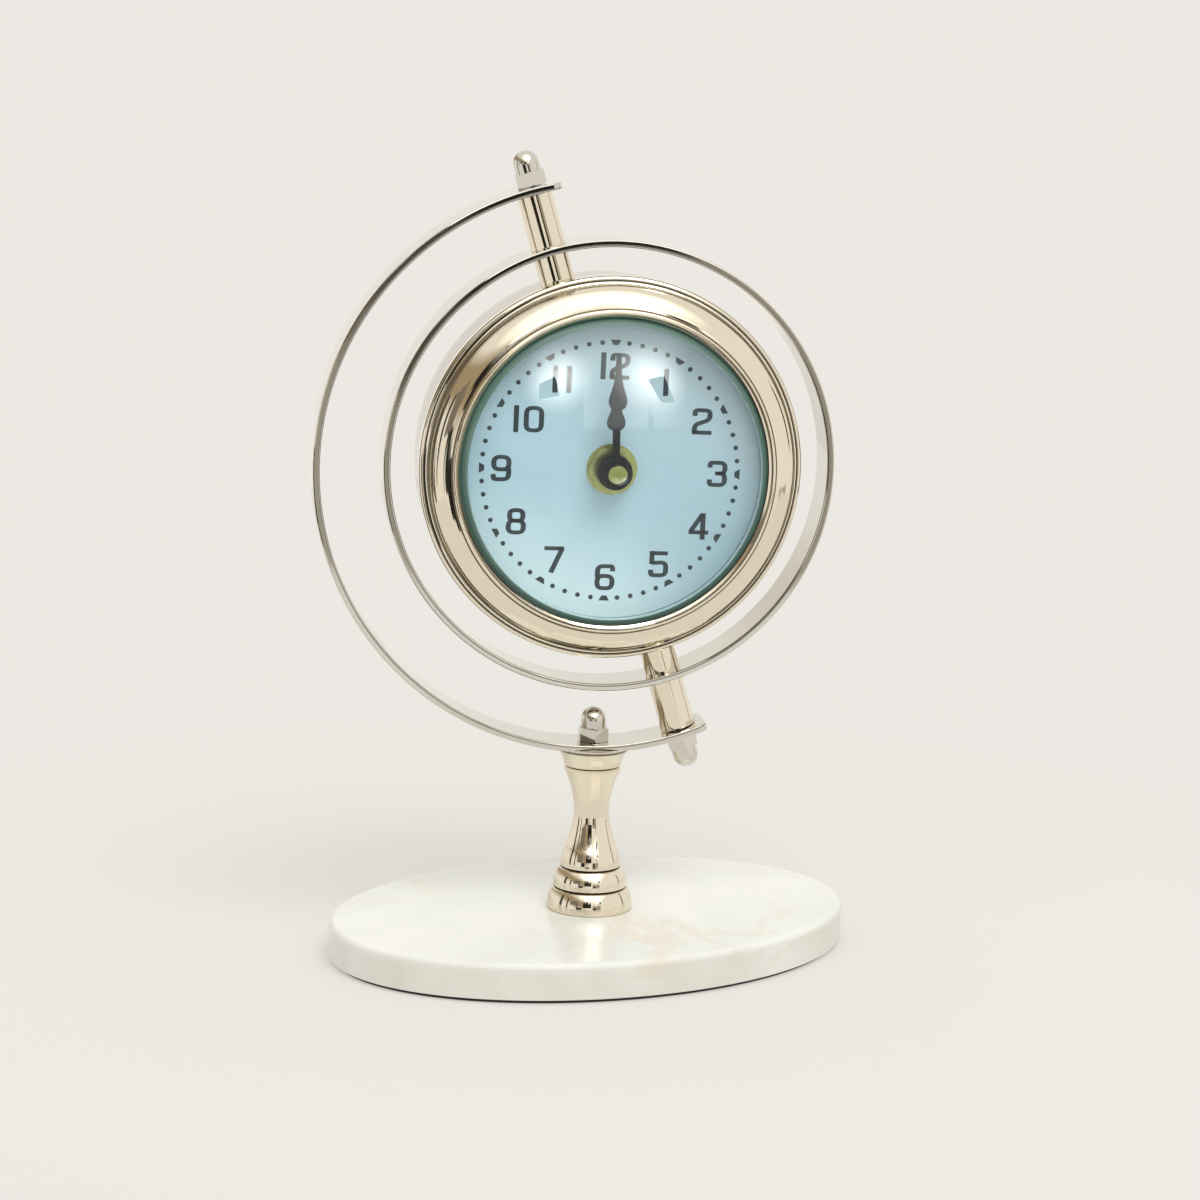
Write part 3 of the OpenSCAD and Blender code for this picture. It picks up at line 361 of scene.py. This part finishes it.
def dress(material, *names):
    """Gives carried-over CAD nodes their finish."""
    for name in names:
        slots = cad[name].data.materials
        for index in range(len(slots)):
            slots[index] = material


dress(marble_finish(), "marble_base")
dress(felt_finish(), "felt_pad")

# Pillar: turned from brass in one piece, polished to a mirror and nickel plated. It keeps faint
# waves and a warm tone, and its grooves, given by height and half width, get painted shade.
WARM_NICKEL, GROOVE_SHADE = (0.85, 0.775, 0.63), (0.06, 0.055, 0.05)
PILLAR_GROOVES = ((0.0175, 0.00028), (0.0233, 0.00028), (0.0525, 0.00012), (0.0575, 0.0005))


def nickel_finish(name, colour, measure=None, grooves=(), shade_share=0.0):
    """Mirror-bright nickel. A measure, such as height, says where its grooves lie; they get painted
    shade.
    """
    nickel = Finish(name)
    place = nickel.place()
    haze = nickel.noise(place, scale=60, detail=4, roughness=0.6)
    wave = nickel.noise(place, scale=35, detail=2)
    tone = nickel.mix(haze, colour, shaded(colour, 0.93))
    rough = 0.035 + 0.05 * haze
    along = measure(nickel) if grooves else 0
    # Painted shade: each groove is darkened by the given share.
    for middle, half in grooves:
        inside = 1 - nickel.ramp(abs(along - middle), half * 0.5, half)
        tone = nickel.mix(inside * shade_share, tone, GROOVE_SHADE)
        rough = rough + 0.3 * inside
    return nickel.surface(nickel.add("BsdfPrincipled", {
        "Base Color": tone, "Metallic": 1.0, "Roughness": rough,
        "Normal": nickel.bump(wave, distance=0.00006)}))


dress(nickel_finish("turned_nickel", WARM_NICKEL, height_of, PILLAR_GROOVES, 0.8), "pillar")

# Arm, ring and tubes: flat strip bent to a half circle and to a full one, held apart by turned
# tubes. Painted shade, given by radius, runs along each strip's edge. Acorn nuts close the rods.
PALE_NICKEL = (0.70, 0.675, 0.61)
ARM_CENTRE = (0, 0, 0.1373)
ARM_EDGE_SHADE, RING_EDGE_SHADE = ((0.0783, 0.00022),), ((0.0613, 0.00022),)


def from_centre(finish, centre=RING_CENTRE):
    """Where a point lies as seen from a centre, in metres."""
    return finish.add("VectorMath", {0: finish.place(), 1: tuple(centre)}, operation="SUBTRACT")


def from_axis(finish, centre=RING_CENTRE):
    """Distance from the dial's axis, in metres."""
    flat = finish.add("VectorMath", {0: from_centre(finish, centre), 1: (1, 0, 1)},
                      operation="MULTIPLY")
    return finish.add("VectorMath", {0: flat}, out="Value", operation="LENGTH")


def from_arm_axis(finish):
    """Distance from the axis of the arm's half circle, in metres."""
    return from_axis(finish, ARM_CENTRE)


dress(nickel_finish("arm_nickel", PALE_NICKEL, from_arm_axis, ARM_EDGE_SHADE, 0.6), "meridian_arm")
dress(nickel_finish("ring_nickel", PALE_NICKEL, from_axis, RING_EDGE_SHADE, 0.6), "ring")
dress(nickel_finish("tube_nickel", WARM_NICKEL), "outer_tubes", "inner_tubes")
dress(nickel_finish("nut_nickel", PALE_NICKEL), "pillar_nut", "axis_nuts")

# Case and bezel: a drum and a rim of spun brass. The case's turned lines, given by their depth
# behind the ring's middle, and the bezel's steps and bead, given by radius, get painted shade.
CASE_NICKEL = (0.66, 0.62, 0.545)
CASE_SHADE_LINES = ((0.0012, 0.0005), (0.0040, 0.0003), (0.0075, 0.0006), (0.0115, 0.0004))
BEZEL_GROOVES = ((0.05075, 0.00035), (0.0520, 0.0002), (0.04475, 0.0002), (0.04333, 0.00012))


def depth_of(finish):
    """Depth behind the ring's middle, in metres."""
    return finish.add("SeparateXYZ", {0: finish.place()}, out="Y")


dress(nickel_finish("case_nickel", CASE_NICKEL, depth_of, CASE_SHADE_LINES, 0.35), "drum_case")
dress(nickel_finish("bezel_nickel", WARM_NICKEL, from_axis, BEZEL_GROOVES, 0.55), "bezel")

# Hidden steel: tie rod, washer and nuts, pivot rods and the movement's sheet-metal pieces.
# Zinc-plated and left as it comes, so it is duller and greyer than the nickel.
ZINC = (0.60, 0.61, 0.62)


def plain_metal(name, colour, roughness):
    metal = Finish(name)
    grain = metal.noise(metal.place(), scale=420, detail=4, roughness=0.65)
    return metal.surface(metal.add("BsdfPrincipled", {
        "Base Color": metal.mix(grain, colour, shaded(colour, 0.8)), "Metallic": 1.0,
        "Roughness": roughness + 0.14 * grain, "Normal": metal.bump(grain, distance=0.00002)}))


dress(plain_metal("zinc_steel", ZINC, 0.28), "tie_rod", "base_washer", "base_nut", "pivot_rods",
      "lock_nuts", "battery_contacts", "stator", "rotor")

# Glass: a pressed dome with a ground bevel, whose thick edge looks green. A black seal lies
# between it and the bezel's lip, and a pale plastic spacer ring presses it forward.
CLEAR_GLASS, GREEN_GLASS = (0.985, 1.0, 0.995), (0.12, 0.22, 0.185)
GREEN_R, GREEN_CENTRE = 0.0407, RING_CENTRE + Vector((0.0001, 0, -0.0002))
SEAL_BLACK, SPACER_PALE = (0.012, 0.014, 0.013), (0.70, 0.74, 0.72)


def glass_finish():
    glass = Finish("domed_glass")
    edge = glass.ramp(from_axis(glass, GREEN_CENTRE), GREEN_R - 0.0003, GREEN_R + 0.0001)
    clear = glass.add("BsdfPrincipled", {
        "Base Color": CLEAR_GLASS, "Roughness": 0.0, "Transmission Weight": 1.0, "IOR": 1.4,
        "Specular IOR Level": 0.3})
    green = glass.add("BsdfPrincipled", {
        "Base Color": GREEN_GLASS, "Roughness": 0.12, "IOR": 1.5, "Coat Weight": 0.4})
    return glass.surface(glass.cover(glass.ray("Shadow"), glass.cover(edge, clear, green),
                                     glass.add("BsdfTransparent")))


def moulded(name, colour, roughness, grain_depth=0.00002):
    plastic = Finish(name)
    place = plastic.place()
    grain = plastic.noise(place, scale=1400, detail=3, roughness=0.6)
    shift = plastic.noise(place, scale=90, detail=2)
    return plastic.surface(plastic.add("BsdfPrincipled", {
        "Base Color": plastic.mix(shift, colour, shaded(colour, 0.86)),
        "Roughness": roughness + 0.12 * grain, "Normal": plastic.bump(grain, grain_depth)}))


dress(glass_finish(), "glass")
dress(moulded("black_seal", SEAL_BLACK, 0.6), "glass_seal")
dress(moulded("pale_spacer", SPACER_PALE, 0.45), "glass_spacer")

# Dial: a thin aluminium disc painted pale blue in front and left bare behind. Painted light makes
# it paler below and near the rim at upper right, and painted shade deeper above and to the right.
DIAL_FACE = -0.0083
DIAL_BLUE, DIAL_LOW_LIGHT, DIAL_UPPER_SHADE = (0.37, 0.58, 0.68), (0.73, 0.955, 1.0), (0.425, 0.59, 0.65)
DIAL_RIGHT_SHADE, DIAL_RIM_LIGHT, DIAL_CLOUD = (0.25, 0.38, 0.45), (0.64, 0.80, 0.86), (0.44, 0.63, 0.71)
ALUMINIUM = (0.70, 0.71, 0.72)


def dial_finish():
    paint = Finish("pale_blue_paint")
    place, outward = paint.place(), from_centre(paint)
    down = paint.along(outward, (-0.36, 0, -0.93))
    rightward = paint.along(outward, (1, 0, 0))
    aslant = paint.along(outward, (0.71, 0, 0.71))
    # Painted light below and at the rim, painted shade above and to the right
    low = paint.ramp(down, 0.008, 0.042) ** 1.6
    upper = paint.ramp(down, -0.006, -0.03)
    right_shade = paint.ramp(rightward, 0.002, 0.020) * (0.28 - 0.24 * low)
    rim = paint.ramp(from_axis(paint), 0.033, 0.040) * paint.ramp(aslant, 0.012, 0.034)
    cloud = paint.noise(place, scale=40, detail=3)
    grain = paint.noise(place, scale=3000, detail=2)
    bare = depth_of(paint) > DIAL_FACE + 0.0002
    tone = paint.mix(low, DIAL_BLUE, DIAL_LOW_LIGHT)
    tone = paint.mix(upper * 0.9, tone, DIAL_UPPER_SHADE)
    tone = paint.mix(right_shade, tone, DIAL_RIGHT_SHADE)
    tone = paint.mix(rim * 0.4, tone, DIAL_RIM_LIGHT)
    tone = paint.mix(cloud * 0.12, tone, DIAL_CLOUD)
    return paint.surface(paint.add("BsdfPrincipled", {
        "Base Color": paint.mix(bare, tone, ALUMINIUM), "Metallic": bare,
        "Roughness": 0.42 + 0.1 * grain - 0.08 * bare, "Specular IOR Level": 1.0,
        "Normal": paint.bump(grain, distance=0.000006)}))


dress(dial_finish(), "dial")

# Print on the dial: numbers, minute dots and hour marks in dark blue-grey ink, in millimetres from
# the dial's centre. The dial was fitted a little turned and off centre, so its print is too.
INK_DARK, INK_PALE, INK_LIFT = (0.014, 0.030, 0.038), (0.024, 0.045, 0.054), 0.00003
DIAL_TURN, DIAL_SHIFT, PRINT_SCALE = math.radians(1.4), Vector((-0.5, -0.53)), 0.9885
UPRIGHT_PEN, LEVEL_PEN, CURVE_STEPS = 1.42, 1.12, 6
TRACK_R, DOT_R, DOT_CORNERS = 35.65, 0.66, 20
MARK_HALF_HEIGHT, MARK_OUTER_HALF, MARK_INNER_HALF = 0.72, 1.5, 0.68
NUMBER_R = (28.9, 29.0, 30.1, 29.7, 29.8, 29.8, 29.0, 29.4, 30.2, 27.6, 28.9, 29.1)
PAIR_PLACES = {"10": (-2.75, 2.15), "11": (-1.9, 1.9), "12": (-3.2, 1.45)}

# Each number's strokes: corner points, the radius that rounds them, and whether the line closes.
# W and H are the half width and height of the pen's path. Straight strokes end at END and BAR.
W, H, END, BAR = 2.1, 3.1, 3.72, 2.75
STROKES = {
    "0": [([(-W, -H), (W, -H), (W, H), (-W, H)], 1.7, True)],
    "1": [([(0, -END), (0, END)], 0, False)],
    "2": [([(-W, 1.5), (-W, H), (W, H), (W, 0.5), (-W, -1.0), (-W, -H - 0.3)], 1.5, False),
          ([(-2.6, -H), (BAR, -H)], 0, False)],
    "3": [([(-W, 1.7), (-W, H), (W, H), (W, 0.1), (-0.6, 0.1)], 1.4, False),
          ([(-0.6, 0.1), (W, 0.1), (W, -H), (-W, -H), (-W, -1.6)], 1.4, False)],
    "4": [([(1.1, -END), (1.1, END)], 0, False), ([(0.9, 3.4), (-2.35, -1.6)], 0, False),
          ([(-2.8, -1.7), (BAR, -1.7)], 0, False)],
    "5": [([(2.5, H), (-1.9, H)], 0, False), ([(-1.9, 3.7), (-1.9, 0.0)], 0, False),
          ([(-1.9, 0.35), (W, 0.6), (W, -H), (-W, -H), (-W, -1.6)], 1.5, False)],
    "6": [([(W, 1.7), (W, H), (-W, H), (-W, 0.0)], 1.7, False),
          ([(-W, -H), (W, -H), (W, 0.35), (-W, 0.35)], 1.6, True)],
    "7": [([(-BAR, H), (BAR, H)], 0, False), ([(2.3, 3.2), (-0.7, -END)], 0, False)],
    "8": [([(-W, -H), (W, -H), (W, 0.15), (-W, 0.15)], 1.5, True),
          ([(-1.85, 0.15), (1.85, 0.15), (1.85, H), (-1.85, H)], 1.4, True)],
    "9": [([(-W, -1.7), (-W, -H), (W, -H), (W, 0.0)], 1.7, False),
          ([(W, H), (-W, H), (-W, -0.35), (W, -0.35)], 1.6, True)],
}


def ink_finish():
    ink = Finish("blue_grey_ink")
    grain = ink.noise(ink.place(), scale=2200, detail=3)
    return ink.surface(ink.add("BsdfPrincipled", {
        "Base Color": ink.mix(grain, INK_DARK, INK_PALE), "Roughness": 0.5,
        "Specular IOR Level": 0.15}))


def rounded(points, radius, closed):
    """A line through corner points, with its corners rounded."""
    line = []
    count = len(points)
    for i, p in enumerate(points):
        p = Vector(p)
        if not closed and i in (0, count - 1):
            line.append(p)
            continue
        before, after = Vector(points[i - 1]) - p, Vector(points[(i + 1) % count]) - p
        cut = min(radius, before.length / 2.001, after.length / 2.001)
        a, b = p + before.normalized() * cut, p + after.normalized() * cut
        for k in range(CURVE_STEPS + 1):
            t = k / CURVE_STEPS
            line.append(a * (1 - t) ** 2 + p * 2 * t * (1 - t) + b * t * t)
    return line


def ribbon(line, closed):
    """Quads along a line: a pen that is wider on upright strokes than on level ones."""
    count = len(line)
    edges = []
    for i in range(count):
        if closed:
            following, preceding = line[(i + 1) % count], line[i - 1]
        else:
            following, preceding = line[min(i + 1, count - 1)], line[max(i - 1, 0)]
        way = (following - preceding).normalized()
        half = Vector((-way.y * UPRIGHT_PEN / 2, way.x * LEVEL_PEN / 2))
        edges.append((line[i] + half, line[i] - half))
    return [(edges[i][0], edges[i][1], edges[(i + 1) % count][1], edges[(i + 1) % count][0])
            for i in range(count if closed else count - 1)]


print_shapes = []
for hour in range(1, 13):
    angle = math.radians(30 * hour)
    middle = Vector((math.sin(angle), math.cos(angle))) * NUMBER_R[hour - 1]
    digits = str(hour)
    for digit, shift in zip(digits, PAIR_PLACES.get(digits, (0,))):
        for points, radius, closed in STROKES[digit]:
            print_shapes += [[middle + Vector((shift, 0)) + corner for corner in quad]
                             for quad in ribbon(rounded(points, radius, closed), closed)]

for minute in range(60):
    angle = math.radians(6 * minute)
    outward = Vector((math.sin(angle), math.cos(angle)))
    side = Vector((math.cos(angle), -math.sin(angle)))
    if minute % 5:
        print_shapes.append([outward * TRACK_R + Vector((math.cos(t), math.sin(t))) * DOT_R
                             for t in (math.tau * k / DOT_CORNERS for k in range(DOT_CORNERS))])
    else:
        outer = outward * (TRACK_R + MARK_HALF_HEIGHT)
        inner = outward * (TRACK_R - MARK_HALF_HEIGHT)
        print_shapes.append([outer - side * MARK_OUTER_HALF, outer + side * MARK_OUTER_HALF,
                             inner + side * MARK_INNER_HALF, inner - side * MARK_INNER_HALF])

corners, faces = [], []
turn_cos, turn_sin = math.cos(DIAL_TURN), math.sin(DIAL_TURN)
for shape in print_shapes:
    faces.append(range(len(corners), len(corners) + len(shape)))
    for c in shape:
        x = (c.x * turn_cos + c.y * turn_sin) * PRINT_SCALE + DIAL_SHIFT.x
        z = (c.y * turn_cos - c.x * turn_sin) * PRINT_SCALE + DIAL_SHIFT.y
        corners.append((RING_CENTRE.x + x / 1000, DIAL_FACE - INK_LIFT, RING_CENTRE.z + z / 1000))
mesh = bpy.data.meshes.new("dial_print")
mesh.from_pydata(corners, [], faces)
mesh.materials.append(ink_finish())
dial_print = bpy.data.objects.new("dial_print", mesh)
scene.collection.objects.link(dial_print)
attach(dial_print, "globe")

# Hands: two spade hands stamped from sheet and painted glossy black, a brass nut and washer that
# hold the movement to the dial, and a brass cap on the shaft's tip.
PAINT_BLACK, PAINT_SHEEN = (0.003, 0.006, 0.007), (0.006, 0.011, 0.012)
BRASS = (0.36, 0.395, 0.15)


def black_paint():
    paint = Finish("glossy_black_paint")
    orange_peel = paint.noise(paint.place(), scale=500, detail=2)
    return paint.surface(paint.add("BsdfPrincipled", {
        "Base Color": paint.mix(orange_peel, PAINT_BLACK, PAINT_SHEEN),
        "Roughness": 0.16 + 0.08 * orange_peel, "Specular IOR Level": 0.1,
        "Normal": paint.bump(orange_peel, distance=0.00003)}))


dress(black_paint(), "minute_hand", "hour_hand")
dress(plain_metal("yellow_brass", BRASS, 0.22), "post_nut", "post_washer", "hand_nut",
      "minute_arbor")

# Movement: a square black housing that stands in the open back of the case, with its cover, its
# battery and the setting knob. The wheels inside are white plastic.
HOUSING_BLACK, WHEEL_WHITE = (0.012, 0.012, 0.013), (0.74, 0.74, 0.71)
CELL_BLUE = (0.035, 0.05, 0.07)
COPPER, BOARD_BROWN = (0.75, 0.32, 0.15), (0.30, 0.19, 0.06)

dress(moulded("black_housing", HOUSING_BLACK, 0.5, grain_depth=0.00005),
      "movement_housing", "movement_back")
dress(moulded("white_acetal", WHEEL_WHITE, 0.32), "train_plate", "centre_wheel", "third_wheel",
      "fourth_wheel", "motion_wheel", "hour_wheel", "setting_arbor", "setting_knob")
dress(moulded("cell_sleeve", CELL_BLUE, 0.22), "battery")
dress(plain_metal("copper_winding", COPPER, 0.3), "coil")
dress(moulded("brown_board", BOARD_BROWN, 0.5), "circuit_board")
